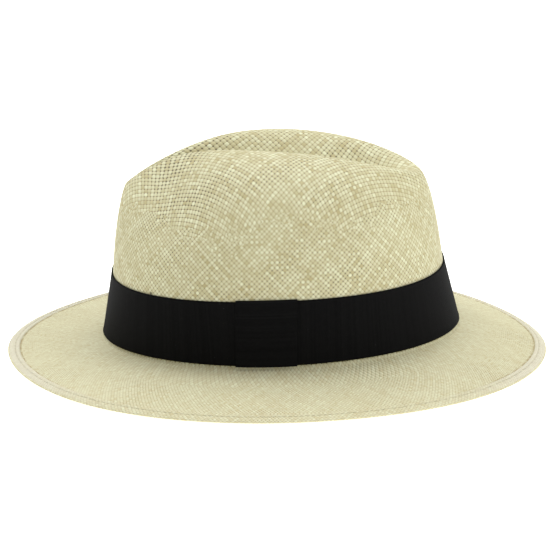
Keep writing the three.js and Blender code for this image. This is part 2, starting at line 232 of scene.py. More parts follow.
def pinch_share(theta, spread):
    """1 at the middle of either front pinch and 0 away from them."""
    from_front = np.degrees(np.abs(theta - np.pi))
    return np.exp(-(((from_front - PINCH_ANGLE) / spread) ** 2))


def wall(theta, t):
    """From the ridge over the shoulder and down to the top of the band, t from 0 to 1."""
    start, end = ridge(theta), neck(theta)
    across = (end - start) * (1, 1, 0)
    reach = np.linalg.norm(across, axis=-1, keepdims=True)
    out = unit(across)
    rise = (start - end)[..., 2:]
    side = np.sin(theta)[..., None] ** 2
    back = np.cos(theta)[..., None]
    pinch = pinch_share(theta, PINCH_SPREAD)[..., None]
    shoulder = reach * (SHOULDER["ends"] + SHOULDER["sides"] * side - SHOULDER["pinch"] * pinch)
    x = start[..., 0]
    slope = (ridge_height(x + SLOPE_STEP) - ridge_height(x - SLOPE_STEP)) / (2 * SLOPE_STEP)
    leave = (out + point(0, 0, slope * out[..., 0])) * shoulder
    lean = WALL_LEAN["sides"] + WALL_LEAN["ends"] * back**2 + WALL_LEAN["back"] * back
    arrive = (point(0, 0, 1) - out * lean) * WALL_STAND * rise
    t = t[..., None]
    hollow = PINCH_DEPTH * pinch * np.sin(np.pi * t**PINCH_RISE) ** 2
    return bezier(start, start + leave, end + arrive, end, t) - out * hollow


def band_zone(theta, t):
    """From the top of the band down to its foot, t from 0 to 1."""
    top = neck(theta)
    return top + (foot(theta) - top) * t[..., None]


def brim(theta, t):
    """From the foot of the band through the tight break and out to the brim's edge."""
    base, rim = foot(theta), edge(theta)
    out = unit((rim - base) * (1, 1, 0))
    up = point(0.0, 0.0, 1.0)
    start = base - up * GAP
    turn = start + out * BREAK_REACH - up * BREAK_DROP
    fall = rim - turn
    reach = np.linalg.norm(fall[..., :2], axis=-1, keepdims=True)
    slope = fall[..., 2:] / reach
    gentle, steep = [out + up * slope * BRIM_SLOPE[place] for place in ("start", "end")]
    t = t[..., None]
    corner = bezier(start, start - up * BREAK_FULLNESS * BREAK_DROP,
                    turn - gentle * BREAK_FULLNESS * BREAK_REACH,
                    turn, np.clip(t / BREAK_SHARE, 0, 1))
    flat = bezier(turn, turn + gentle * reach * BRIM_ARM, rim - steep * reach * BRIM_ARM, rim,
                  np.clip((t - BREAK_SHARE) / (1 - BREAK_SHARE), 0, 1))
    return np.where(t < BREAK_SHARE, corner, flat)


def straw(theta, u):
    """The whole meridian: 0 crease floor, 1 ridge, 2 neck, 3 foot, 4 brim's edge."""
    theta, u = np.broadcast_arrays(np.asarray(theta, float), np.asarray(u, float))
    result = crease(theta, np.clip(u, 0, 1))
    for start, part in ((1, wall), (2, band_zone), (3, brim)):
        inside = (u >= start)[..., None]
        result = np.where(inside, part(theta, np.clip(u - start, 0, 1)), result)
    return result


def straw_normal(theta, u, step=0.01):
    along = straw(theta, np.minimum(4, u + step)) - straw(theta, np.maximum(0, u - step))
    around = straw(theta + step, u) - straw(theta - step, u)
    return unit(np.cross(along, around))


# ---------------- meshes


def link_mesh(name, mesh, smooth_shaded):
    mesh.polygons.foreach_set("use_smooth", [smooth_shaded] * len(mesh.polygons))
    obj = bpy.data.objects.new(name, mesh)
    bpy.context.collection.objects.link(obj)
    return obj


# ---------------- stage


FLOOR_REACH = 60.0
FLOOR_GLOW = 0.8                # the table is lit from inside, so the hat throws no shadow


def make_stage():
    """A pale floor, wide enough for every view."""
    mesh = bpy.data.meshes.new("floor")
    outline = [(x * FLOOR_REACH, y * FLOOR_REACH, 0) for x, y in ((-1, -1), (1, -1), (1, 1), (-1, 1))]
    mesh.from_pydata(outline, [], [(0, 1, 2, 3)])
    floor = link_mesh("floor", mesh, False)
    material = bpy.data.materials.new("floor_paper")
    material.use_nodes = True
    shader = material.node_tree.nodes["Principled BSDF"]
    shader.inputs["Base Color"].default_value = (0.85, 0.85, 0.84, 1)
    shader.inputs["Roughness"].default_value = 0.9
    shader.inputs["Emission Color"].default_value = (1.0, 0.985, 0.95, 1)
    shader.inputs["Emission Strength"].default_value = FLOOR_GLOW
    floor.data.materials.append(material)


LIGHT_TARGET = Vector((0, 0, 0.05))
STUDIO_LEVEL = 0.53
LIGHTS = {                      # place, size and power in watts of each soft panel
    "top": ((-0.1, 0.28, 1.28), (1.4, 1.2), 17),
    "right": ((1.2, -0.5, 0.7), (0.7, 0.9), 7),
    "left": ((-1.1, 0.6, 0.9), (0.8, 0.9), 3.6),
}


def area_light(name, location, size, power):
    data = bpy.data.lights.new(name, "AREA")
    data.shape = "RECTANGLE"
    data.size, data.size_y = size
    data.energy = power
    light = bpy.data.objects.new(name, data)
    light.location = location
    aim = LIGHT_TARGET - Vector(location)
    light.rotation_euler = aim.to_track_quat("-Z", "Y").to_euler()
    bpy.context.collection.objects.link(light)


def make_lights():
    world = bpy.data.worlds.new("studio")
    SCENE.world = world
    world.use_nodes = True
    background = world.node_tree.nodes["Background"]
    background.inputs["Color"].default_value = (1, 1, 1, 1)
    background.inputs["Strength"].default_value = STUDIO_LEVEL
    for name, (location, size, power) in LIGHTS.items():
        area_light(name, location, size, power)
    SCENE.view_settings.view_transform = "Standard"


# ---------------- node arithmetic


class Term:
    """A number worked out by a material's nodes, so that the materials below read as sums."""

    def __init__(self, tree, socket):
        self.tree = tree
        self.socket = socket

    def op(self, operation, *others):
        node = self.tree.nodes.new("ShaderNodeMath")
        node.operation = operation
        for target, value in zip(node.inputs, (self, *others)):
            feed(self.tree, target, value)
        return Term(self.tree, node.outputs[0])

    def __add__(self, other):
        return self.op("ADD", other)

    def __sub__(self, other):
        return self.op("SUBTRACT", other)

    def __mul__(self, other):
        return self.op("MULTIPLY", other)

    def __pow__(self, other):
        return self.op("POWER", other)

    def floor(self):
        return self.op("FLOOR")

    def away(self):
        """0 in the middle of a 0 to 1 range and 1 at both its ends."""
        return (self * 2 - 1).op("ABSOLUTE")

    def blend(self, other, share):
        """This number where share is 0 and the other where it is 1."""
        return self + (other - self) * share

    def ramp(self, lo, hi, out_lo=0.0, out_hi=1.0):
        node = self.tree.nodes.new("ShaderNodeMapRange")
        node.interpolation_type = "SMOOTHSTEP"
        for key, value in zip(("Value", "From Min", "From Max", "To Min", "To Max"),
                              (self, lo, hi, out_lo, out_hi)):
            feed(self.tree, node.inputs[key], value)
        return Term(self.tree, node.outputs["Result"])


def feed(tree, target, value):
    if isinstance(value, Term):
        tree.links.new(value.socket, target)
    else:
        target.default_value = value


class Finish:
    """A procedural material on one Principled shader."""

    def __init__(self, name, **settings):
        self.material = bpy.data.materials.new(name)
        self.material.use_nodes = True
        self.tree = self.material.node_tree
        self.shader = self.tree.nodes["Principled BSDF"]
        for key, value in settings.items():
            self.set(key.replace("_", " "), value)

    def set(self, key, value):
        feed(self.tree, self.shader.inputs[key], value)

    def add(self, kind, inputs, output=0, **settings):
        node = self.tree.nodes.new(kind)
        for key, value in settings.items():
            setattr(node, key, value)
        for key, value in inputs.items():
            feed(self.tree, node.inputs[key], value)
        return Term(self.tree, node.outputs[output])

    def vector(self, x, y=0.0, z=0.0):
        return self.add("ShaderNodeCombineXYZ", {"X": x, "Y": y, "Z": z})

    def attribute(self, name):
        found = self.add("ShaderNodeAttribute", {}, "Vector", attribute_name=name)
        split = self.tree.nodes.new("ShaderNodeSeparateXYZ")
        feed(self.tree, split.inputs[0], found)
        return [Term(self.tree, out) for out in split.outputs]

    def place(self):
        """Where the point is on the object, in metres."""
        found = self.add("ShaderNodeTexCoord", {}, "Object")
        split = self.tree.nodes.new("ShaderNodeSeparateXYZ")
        feed(self.tree, split.inputs[0], found)
        return found, [Term(self.tree, out) for out in split.outputs]

    def chance(self, *values):
        """An even random number for each different set of values."""
        return self.add("ShaderNodeTexWhiteNoise", {"Vector": self.vector(*values)}, "Value")

    def noise(self, vector, scale, detail=2.0, roughness=0.5):
        return self.add("ShaderNodeTexNoise", {"Vector": vector, "Scale": scale, "Detail": detail,
                                               "Roughness": roughness}, "Fac")

    def colour(self, share, low, high):
        return self.add("ShaderNodeMix", {0: share, 6: (*low, 1), 7: (*high, 1)}, 2,
                        data_type="RGBA")

    def tint(self, colour, other, share):
        return self.add("ShaderNodeMix", {0: share, 6: colour, 7: other}, 2, data_type="RGBA")

    def bump(self, height, depth, strength=1.0):
        self.set("Normal", self.add("ShaderNodeBump", {"Height": height, "Distance": depth,
                                                       "Strength": strength}))


# ---------------- straw material

# Each straw's colours, how far they vary from straw to straw, and how dark the painted shade at its
# edges is.
CROWN_STRAW = {"tan": (0.42, 0.365, 0.19), "cream": (0.65, 0.655, 0.452),
               "shade": (0.30, 0.25, 0.12), "hole_shade": (0.06, 0.045, 0.02), "contrast": 1.1, "edges": 1.3}
BRIM_STRAW = {"tan": (0.50, 0.44, 0.25), "cream": (0.67, 0.68, 0.49),
              "shade": (0.38, 0.31, 0.16), "hole_shade": (0.20, 0.13, 0.05), "contrast": 0.8, "edges": 1.0}


TONE = {"straw": 0.4, "along": 0.3, "spot": 0.4, "fibre": 0.4, "middle": 0.75}
# Strength of the painted shade at a straw's sides and at its ends, and the most it may reach.
SIDE_SHADE, END_SHADE, MOST_SHADE = 0.5, 0.4, 0.8
WEAVE_BUMP = 0.25 * MM


def straw_finish(finish, straws, across, along, index, cell, run, loose):
    """Colours one woven straw: its tone, painted shade at its sides and ends, fibres, and painted
    shade in the corner holes.

    across and along run 0 to 1 over the straw where it shows, index tells one straw from the
    next, cell one crossing from the next, and run is the distance along the straw.
    """
    side, end = across.away(), along.away()
    tone = finish.chance(index, 3.7)
    drift = finish.noise(finish.vector(index * 3.31, run * 0.11), 1.0)
    spot = finish.chance(cell, index)
    fibre = finish.noise(finish.vector(across * 9 + index * 5.3, run * 0.5), 1.0, 3.0, 0.7)
    pale = tone * TONE["straw"] + drift.ramp(0.3, 0.7) * TONE["along"] + spot * TONE["spot"]
    pale = pale + fibre * TONE["fibre"] - TONE["middle"]
    pale = (pale * straws["contrast"] + 0.5).op("MINIMUM", 1.0).op("MAXIMUM", 0.0)
    colour = finish.colour(pale, straws["tan"], straws["cream"])
    # Painted shade where the straw dips under its neighbours, at its sides and its ends.
    dark = side.ramp(0.6, 1.0) * SIDE_SHADE + end.ramp(0.65, 1.0) * END_SHADE
    dark = dark * straws["edges"]
    colour = finish.tint(colour, (*straws["shade"], 1), dark.op("MINIMUM", MOST_SHADE))
    # The corner holes are painted shade: dark dots where the weave opens between crossings.
    reach = finish.chance(cell, index, 5.1) * 0.5 + 0.6
    open_side = (side + loose * reach).ramp(1.0, 1.07)
    open_end = (end + loose * reach).ramp(1.0, 1.07)
    colour = finish.tint(colour, (*straws["hole_shade"], 1), open_side * open_end * 0.9)
    height = (side**3.0 * -1 + 1) * 0.6 + (end**2.0 * -1 + 1) * 0.4 + fibre * 0.12
    finish.bump(height, WEAVE_BUMP, 0.7)
    return colour


def plain_weave(finish, straws, u, v, loose, shift=0.0):
    """Colours a plain weave of straws one unit wide along u and v."""
    i, j = u.floor(), v.floor()
    odd = (i + j).op("FLOORED_MODULO", 2.0)
    across, along = (u - i).blend(v - j, odd), (v - j).blend(u - i, odd)
    index = i.blend(j, odd) + odd * 517 + shift
    return straw_finish(finish, straws, across, along, index, j.blend(i, odd),
                        v.blend(u, odd), loose)


def straw_shader(name):
    finish = Finish(name, Roughness=0.62)
    finish.shader.inputs["Specular IOR Level"].default_value = 0.35
    return finish


def crown_material():
    finish = straw_shader("crown_straw")
    top_u, top_v, is_top = finish.attribute("top_weave")
    wall_u, wall_v, loose = finish.attribute("wall_weave")
    on_top = is_top.op("GREATER_THAN", 0.0)
    u, v = wall_u.blend(top_u, on_top), wall_v.blend(top_v, on_top)
    finish.set("Base Color", plain_weave(finish, CROWN_STRAW, u, v, loose, on_top * 1033))
    return finish.material


HEM_STEP_SHADE = (0.30, 0.22, 0.10, 1)          # painted shadow along the inner boundary of the hem, under its step
NEEDLE_SHADE = (0.33, 0.29, 0.20, 1)        # painted shade between its stitches
HEM_TONE = (0.62, 0.59, 0.515, 1)


def brim_material():
    finish = straw_shader("brim_straw")
    u, v, loose = finish.attribute("brim_weave")
    colour = plain_weave(finish, BRIM_STRAW, u, v, loose)
    from_edge, far, _ = finish.attribute("hem_place")
    where, _ = finish.place()
    break_up = finish.noise(where, 260.0).ramp(0.35, 0.6) * 0.85 + 0.15
    # Painted shadow under the hem's step, broken up, and painted shade between the seam's stitches,
    # both kept off the near side.
    boundary = (from_edge - HEM_WIDTH / MM - 0.35).op("ABSOLUTE").ramp(0.75, 0.2)
    colour = finish.tint(colour, HEM_STEP_SHADE, boundary * break_up * far * 0.75)
    needle = (from_edge - SEAM_INSET / MM).op("ABSOLUTE").ramp(0.7, 0.2)
    dots = (u - v).op("SINE").ramp(0.0, 0.8)
    colour = finish.tint(colour, NEEDLE_SHADE, needle * dots * far * 0.7)
    folded = from_edge.ramp(HEM_WIDTH / MM, HEM_WIDTH / MM - 0.4)
    colour = finish.tint(colour, HEM_TONE, folded * far * 0.5)
    finish.set("Base Color", colour)
    return finish.material


# ---------------- straw meshes

NECK_STRAWS = 208               # straws that cross the neck line, each way round
NECK_RADIUS = 92.9 * MM
DIAGONAL = math.sqrt(2)         # the straws cross the hat's rows at 45 degrees
PITCH = 2 * math.pi * NECK_RADIUS / (DIAGONAL * NECK_STRAWS)
TOP_SPREAD = 1.3                # the straws on top are this much wider apart
TOP_ZONE = 40 * MM              # above the neck, where the top weave gives way to the wall's
WEAVE_DEPTH = 0.3 * MM
WEAVE_LEVEL = 0.7               # the height in the weave that lies on the hat's surface
FADE = 3 * MM                   # the relief runs out over this, going under the band

# How open the crown's weave is, which sizes the painted shade in its corner holes:
# everywhere, over the pinch, in patches, at the most, and what the change from one weave to
# the other closes up.
LOOSE = {"all": 0.26, "pinch": 0.2, "patches": 0.10, "most": 0.52, "change": 0.12}
BRIM_LOOSE = {"all": 0.24, "patches": 0.09, "hem": 0.12, "by_crown": 0.55}

CROWN_COLUMNS = 1056
CROWN_ROWS = {"top": 65, "side": 139, "under_band": 16}
CROWN_INNER_ROWS = 74
BRIM_COLUMNS = 1920
BREAK_ROWS = 7
BRIM_ROWS = 132
INNER_STRAWS = 300              # crossings round the brim by the crown, and
OUTER_STRAWS = 440              # round the rest of it
WIDE_ZONE = 22 * MM             # how far out the first of them reach
ZONE_BLEND = 3 * MM
CROSSING = 2.5 * MM             # how long a crossing of the brim is,
CROSSING_BY_CROWN = 3.0 * MM    # the same by the crown, and what it gains at the sides
CROSSING_AT_SIDES = 2.6 * MM
BRIM_RELIEF = 0.8               # of the crown's
FOLD_REACH = 0.8 * MM           # of the hem's rounded fold beyond the edge
SEAM_DENT = 0.15 * MM


def weave_height(u, v):
    """How far a plain weave stands up: 1 in the middle of each crossing, 0 at its corners."""
    fu, fv = u - np.floor(u), v - np.floor(v)
    odd = (np.floor(u) + np.floor(v)) % 2
    across, along = fu + (fv - fu) * odd, fv + (fu - fv) * odd
    return (1 - np.abs(2 * across - 1) ** 2.5) * 0.6 + np.sin(np.pi * along) ** 0.7 * 0.4


def grid_normals(points):
    """Outward normals of a grid of rows that run down the hat and columns that run round it."""
    down = np.gradient(points, axis=0)
    around = np.roll(points, -1, 1) - np.roll(points, 1, 1)
    return unit(np.cross(down, around))


def lengths(points):
    """Distance down each column from the first row."""
    steps = np.linalg.norm(np.diff(points, axis=0), axis=-1)
    return np.concatenate([np.zeros((1, points.shape[1])), np.cumsum(steps, 0)])


def wrap(values, turn=0):
    """Repeats the first column at the end, a whole turn further on."""
    return np.concatenate([values, values[:, :1] + turn], 1)


def corners(values):
    """Values of a (rows, columns + 1) grid at the four corners of each of its faces."""
    return np.stack([values[:-1, :-1], values[1:, :-1], values[1:, 1:], values[:-1, 1:]], 2)


def grid_faces(ids):
    """Quads of a (rows, columns + 1) grid of point numbers, facing out."""
    return corners(ids).reshape(-1, 4)


NOISE_WAVES = 9


def noise_field(x, y, seed, scale):
    """Smooth random hills about 0, made of a few waves."""
    rng = np.random.default_rng(seed)
    total = np.zeros(np.broadcast(x, y).shape)
    for _ in range(NOISE_WAVES):
        angle, phase = rng.uniform(0, 2 * math.pi, 2)
        size = scale * rng.uniform(0.6, 1.8)
        across = x * math.cos(angle) + y * math.sin(angle)
        total = total + np.sin(across * 2 * math.pi / size + phase)
    return total / math.sqrt(NOISE_WAVES)


def crown_field(points, seed, scale):
    return noise_field(points[..., 0], points[..., 1] + points[..., 2], seed, scale)


def set_corners(mesh, name, values):
    layer = mesh.attributes.new(name, "FLOAT_VECTOR", "CORNER")
    layer.data.foreach_set("vector", values.astype(np.float32).ravel())


def crown_weave(points, theta):
    """The two weaves of the crown and where the top weave gives way."""
    down = lengths(points)
    above_neck = np.maximum(down[-1] - BAND_WIDTH - down, -BAND_WIDTH)
    flat_x = (CREASE_REACH + down) * np.cos(theta)
    flat_y = down * np.sin(theta)
    pitch = DIAGONAL * PITCH * TOP_SPREAD
    top = (flat_x + flat_y) / pitch, (flat_y - flat_x) / pitch
    ring = neck(theta[0])
    steps = np.linalg.norm(np.roll(ring, -1, 0) - ring, axis=-1)
    share = np.concatenate([[0], np.cumsum(steps)]) / steps.sum()
    across = np.broadcast_to(share * NECK_STRAWS, (len(points), len(share)))
    up = wrap(above_neck / (DIAGONAL * PITCH))
    wall_pair = across + up, up - across
    wobble = crown_field(points, seed=4, scale=60 * MM)
    ragged = crown_field(points, seed=5, scale=9 * MM)
    is_top = (above_neck - TOP_ZONE) / MM + 6 * wobble + 5 * ragged
    return top, wall_pair, is_top, above_neck


def looseness(points, above_neck, theta, is_top):
    """How open the weave is, which sizes the painted shade in the corner holes: most over the
    left pinch, a little on the walls, and closed up where one weave changes into the other."""
    pinch = pinch_share(theta, 17) * smooth(30 * MM, 52 * MM, above_neck)
    pinch = pinch * smooth(12 * MM, -6 * MM, points[..., 1])
    hills = crown_field(points, seed=9, scale=45 * MM)
    opened = LOOSE["all"] + LOOSE["pinch"] * pinch + LOOSE["patches"] * hills
    change = np.exp(-(((is_top - 4) / 9) ** 2))
    return np.clip(opened, 0.0, LOOSE["most"]) - LOOSE["change"] * change


def crown_rows():
    """u of each row: down from the crease's floor and on under the band."""
    top = np.linspace(0, 1, CROWN_ROWS["top"] + 1)[:-1]
    side = np.linspace(1, 2, CROWN_ROWS["side"] + 1)[:-1]
    under_band = np.linspace(2, 3, CROWN_ROWS["under_band"])
    return np.concatenate([top, side, under_band])


def make_crown():
    turn = circle(CROWN_COLUMNS)
    outer_u = crown_rows()
    theta = np.broadcast_to(turn, (len(outer_u), CROWN_COLUMNS))
    base = straw(theta, outer_u[:, None])
    base[0, :, 1] = 0
    normals = grid_normals(base)
    normals[0] = (0, 0, 1)
    top, walls, is_top, above_neck = crown_weave(base, theta)
    loose = looseness(base, above_neck, theta, is_top)
    on_top = is_top > 0
    u = np.where(on_top, top[0], walls[0][:, :-1])
    v = np.where(on_top, top[1], walls[1][:, :-1])
    shown = np.clip((above_neck + FADE) / FADE, 0, 1)[..., None]
    bump = (weave_height(u, v)[..., None] - WEAVE_LEVEL) * WEAVE_DEPTH * shown
    bump[0] = 0
    outer = base + normals * bump
    inner_pick = np.linspace(0, len(outer_u) - 1, CROWN_INNER_ROWS).round().astype(int)
    inner = base[inner_pick] - normals[inner_pick] * STRAW
    inner[0, :, 1] = 0
    count, rows = CROWN_COLUMNS, len(outer_u)
    ids = np.arange(rows * count).reshape(rows, count)
    inner_ids = np.arange(len(inner_pick) * count).reshape(-1, count) + rows * count
    half = np.minimum(np.arange(count), count - np.arange(count)) % count
    ids[0] = half
    inner_ids[0] = half + rows * count
    wrapped, inner_wrapped = wrap(ids), wrap(inner_ids)
    lip = np.stack([wrapped[-1], inner_wrapped[-1]])
    faces = np.concatenate([grid_faces(wrapped), grid_faces(inner_wrapped)[:, ::-1],
                            grid_faces(lip)])
    weave = np.stack([wrap(top[0]), wrap(top[1]), wrap(is_top)], -1)
    wall_weave = np.stack([walls[0], walls[1], wrap(loose)], -1)
    layers = {}
    for name, values in (("top_weave", weave), ("wall_weave", wall_weave)):
        rim = np.stack([values[-1], values[-1]])
        sheets = corners(values), corners(values[inner_pick])[:, :, ::-1], corners(rim)
        layers[name] = np.concatenate([sheet.reshape(-1, 4, 3) for sheet in sheets])
    points = np.concatenate([outer.reshape(-1, 3), inner.reshape(-1, 3)])
    return solid_mesh("straw_crown", points, faces, layers, crown_material())


def solid_mesh(name, points, faces, layers, material):
    """A mesh from quads. A quad with two corners on one point becomes a triangle."""
    mesh = bpy.data.meshes.new(name)
    keep = faces != np.roll(faces, 1, 1)
    counts = keep.sum(1)
    whole = counts >= 3
    keep &= whole[:, None]
    used, new = np.unique(faces[keep], return_inverse=True)
    corner_count = counts[whole]
    mesh.vertices.add(len(used))
    mesh.vertices.foreach_set("co", points[used].astype(np.float32).ravel())
    mesh.loops.add(len(new))
    mesh.loops.foreach_set("vertex_index", new.astype(np.int32).ravel())
    mesh.polygons.add(len(corner_count))
    starts = np.concatenate([[0], np.cumsum(corner_count)[:-1]]).astype(np.int32)
    mesh.polygons.foreach_set("loop_start", starts)
    mesh.update(calc_edges=True)
    for layer, values in layers.items():
        set_corners(mesh, layer, values[keep])
    mesh.materials.append(material)
    return link_mesh(name, mesh, True)


# ---------------- brim


def brim_inset(theta, width):
    """u of the line on the brim that lies width inside its edge."""
    reach = np.linalg.norm((edge(theta) - foot(theta))[..., :2], axis=-1) - BREAK_REACH
    return 4 - (1 - BREAK_SHARE) * width / reach


def make_brim():
    turn = circle(BRIM_COLUMNS)
    break_u = 3 + BREAK_SHARE
    top_u = np.concatenate([np.linspace(3, break_u, BREAK_ROWS + 1)[:-1],
                            np.linspace(break_u, 4, BRIM_ROWS)])
    theta = np.broadcast_to(turn, (len(top_u), BRIM_COLUMNS))
    top = straw(theta, np.maximum(top_u, 3.0001)[:, None])
    normals = grid_normals(top)
    down = lengths(top)
    from_edge = down[-1] - down
    change = int(np.searchsorted(down.mean(1), WIDE_ZONE))
    rows = brim_rows(down, turn)
    share = turn / (2 * math.pi)
    inner_half = np.arange(len(top_u))[:, None] < change
    count = np.where(inner_half, INNER_STRAWS, OUTER_STRAWS)
    bump = weave_height(share * count + rows, rows - share * count) - WEAVE_LEVEL
    bump = bump * WEAVE_DEPTH * BRIM_RELIEF
    hem = smooth(HEM_WIDTH, HEM_WIDTH - 0.45 * MM, from_edge) * HEM_LAYER
    groove, dent = [np.exp(-(((from_edge - line) / (0.5 * MM)) ** 2)) * SEAM_DENT
                    for line in (SEAM_INSET, HEM_WIDTH + 0.5 * MM)]
    round_off = smooth(1.4 * MM, 0, from_edge) * 0.35 * MM
    upper = top + normals * (bump + hem - groove - dent - round_off)[..., None]
    fold_angle = np.linspace(0, math.pi, 11)[1:-1]
    rim, rim_up = top[-1], normals[-1]
    out = unit((edge(turn) - foot(turn)) * (1, 1, 0))
    high, low = HEM_LAYER - 0.35 * MM, -STRAW + 0.2 * MM
    fold = np.stack([rim + out * math.sin(a) * FOLD_REACH
                     + rim_up * ((high + low) / 2 + math.cos(a) * (high - low) / 2)
                     for a in fold_angle])
    fold_rows = rows[-1:] + fold_angle[:, None] * 0.4
    fold_bump = weave_height(share * OUTER_STRAWS + fold_rows, fold_rows - share * OUTER_STRAWS)
    fold = fold + out * ((fold_bump - WEAVE_LEVEL) * WEAVE_DEPTH / 2)[..., None]
    under_pick = np.arange(len(top_u) - 1, -1, -2)
    dip = 0.2 * MM * smooth(MM, 0, from_edge[under_pick]) + bump[under_pick] * 0.6
    lower = top[under_pick] - normals[under_pick] * (STRAW - dip)[..., None]
    points = np.concatenate([upper, fold, lower])
    points[..., 2] = np.maximum(points[..., 2], 0.01 * MM)
    all_rows = wrap(np.concatenate([rows, fold_rows, rows[under_pick]]))
    level = np.concatenate([np.arange(len(top_u)), np.full(len(fold), len(top_u)), under_pick])
    patches = noise_field(points[..., 0], points[..., 1], 21, 40 * MM)
    # How open the brim's weave is, which sizes the painted shade in its corner holes.
    loose = BRIM_LOOSE["all"] + BRIM_LOOSE["patches"] * patches
    inside = np.concatenate([from_edge, fold[..., 0] * 0, from_edge[under_pick]])
    out = np.concatenate([down, down[-1:] + fold[..., 0] * 0, down[under_pick]])
    loose = loose * (1 - BRIM_LOOSE["by_crown"] * smooth(32 * MM, 18 * MM, out))
    loose = wrap(loose - BRIM_LOOSE["hem"] * smooth(HEM_WIDTH, HEM_WIDTH - MM, inside))
    far = smooth(-0.93, -0.4, np.sin(turn))
    on_top = np.concatenate([from_edge, fold[..., 0] * 0 + 1, from_edge[under_pick] * 0 + 1])
    hem_place = np.stack([wrap(on_top / MM), wrap(np.broadcast_to(far, inside.shape)),
                          all_rows * 0], -1)
    whole = np.append(share, 1.0)
    kinds = []
    for straws in (INNER_STRAWS, OUTER_STRAWS):
        kinds.append(np.stack([whole * straws + all_rows, all_rows - whole * straws, loose], -1))
    inner, outer = (corners(np.concatenate([kind, kind[:1]])) for kind in kinds)
    level = np.append(level, level[0])
    in_inner = (np.maximum(level[:-1], level[1:]) <= change)[:, None, None, None]
    hem_place = np.concatenate([hem_place, hem_place[:1]])
    layers = {"brim_weave": np.where(in_inner, inner, outer).reshape(-1, 4, 3),
              "hem_place": corners(hem_place).reshape(-1, 4, 3)}
    ids = wrap(np.arange(points.shape[0] * points.shape[1]).reshape(points.shape[:2]))
    ids = np.concatenate([ids, ids[:1]])
    return solid_mesh("straw_brim", points.reshape(-1, 3), grid_faces(ids), layers,
                      brim_material())


def brim_rows(down, turn):
    """Straws crossed on the way out: long crossings by the crown at the sides, short ones
    everywhere else."""
    beside = smooth(0.35, 0.9, np.abs(np.sin(turn)))
    by_crown = CROSSING_BY_CROWN + CROSSING_AT_SIDES * beside
    zone = smooth(WIDE_ZONE - ZONE_BLEND, WIDE_ZONE + ZONE_BLEND, down)
    pitch = by_crown + (CROSSING - by_crown) * zone
    steps = np.diff(down, axis=0) / pitch[1:]
    return np.concatenate([np.zeros((1, down.shape[1])), np.cumsum(steps, 0)])


# ---------------- rings, strips and stitches


def ring_mesh(name, points, material, layers=None):
    """A closed ring: rows run round its section and columns round the hat."""
    ids = wrap(np.arange(points.shape[0] * points.shape[1]).reshape(points.shape[:2]))
    ids = np.concatenate([ids, ids[:1]])
    return solid_mesh(name, points.reshape(-1, 3), grid_faces(ids), layers or {}, material)


def strip_faces(rows, columns, start=0):
    """Faces of a strip with both its ends closed: rows run round its section."""
    ids = np.arange(rows * columns).reshape(rows, columns) + start
    ids = np.concatenate([ids, ids[:1]])
    quads = corners(ids).reshape(-1, 4)
    half = rows // 2
    first, last = ids[:-1, 0], ids[:-1, -1]
    caps = []
    for k in range(half - 1):
        a, b, c, d = k, k + 1, rows - 2 - k, rows - 1 - k
        if b < c:
            caps.append((first[a], first[d], first[c], first[b]))
            caps.append((last[a], last[b], last[c], last[d]))
    return np.concatenate([quads, np.array(caps)])


def tube(path, radius, sides=8):
    """Points of a round tube along a path of points, as (sides, steps, 3)."""
    along = unit(np.gradient(path, axis=0))
    side = unit(np.cross(along, (0.3, 0.2, 0.93)))
    other = np.cross(along, side)
    angle = circle(sides)[:, None, None]
    return path + radius * (side * np.cos(angle) + other * np.sin(angle))


def tubes_mesh(name, paths, radius, material, sides=8):
    """Many short closed tubes as one mesh. Each path narrows at both its ends."""
    points, faces, start = [], [], 0
    for path in paths:
        steps = len(path)
        taper = np.sin(np.linspace(0.18, math.pi - 0.18, steps))[:, None] ** 0.5
        ring = path + (tube(path, radius, sides) - path) * taper
        points.append(ring.reshape(-1, 3))
        faces.append(strip_faces(sides, steps, start))
        start += sides * steps
    return solid_mesh(name, np.concatenate(points), np.concatenate(faces), {}, material)


# ---------------- threads, ribbon, leather


def thread_material(name, low, high):
    finish = Finish(name, Roughness=0.7)
    where, _ = finish.place()
    share = finish.noise(where, 900.0, 3.0)
    finish.set("Base Color", finish.colour(share, low, high))
    finish.bump(finish.noise(where, 2500.0), 0.08 * MM, 0.6)
    return finish.material


THREAD_RADIUS = 0.2 * MM
THREAD_SINK = 0.08 * MM         # the stitches' ends go this far into the straw
HEM_STITCHES = 300
SEAM_STITCHES = 190
STITCH_POINTS = 7


def hem_stitches(name, depth, angle_shift, material):
    """Lock stitches along the hem, on top of the brim or under it."""
    paths = []
    way = 1 if depth < 0 else -1
    rise = 0.16 * MM * np.sin(np.linspace(0, math.pi, STITCH_POINTS))[:, None]
    for k in range(HEM_STITCHES):
        turns = (k + angle_shift + np.linspace(0.1, 0.8, STITCH_POINTS)) / HEM_STITCHES
        theta = turns * 2 * math.pi
        u = brim_inset(theta, SEAM_INSET)
        lift = way * (THREAD_SINK - rise)
        paths.append(straw(theta, u) - straw_normal(theta, u) * (depth + lift))
    return tubes_mesh(name, paths, THREAD_RADIUS, material, 6)


RIBBON_BLACKS = (0.0024, 0.0024, 0.0026), (0.0055, 0.0055, 0.0057)
LINT = (0.08, 0.08, 0.085, 1)


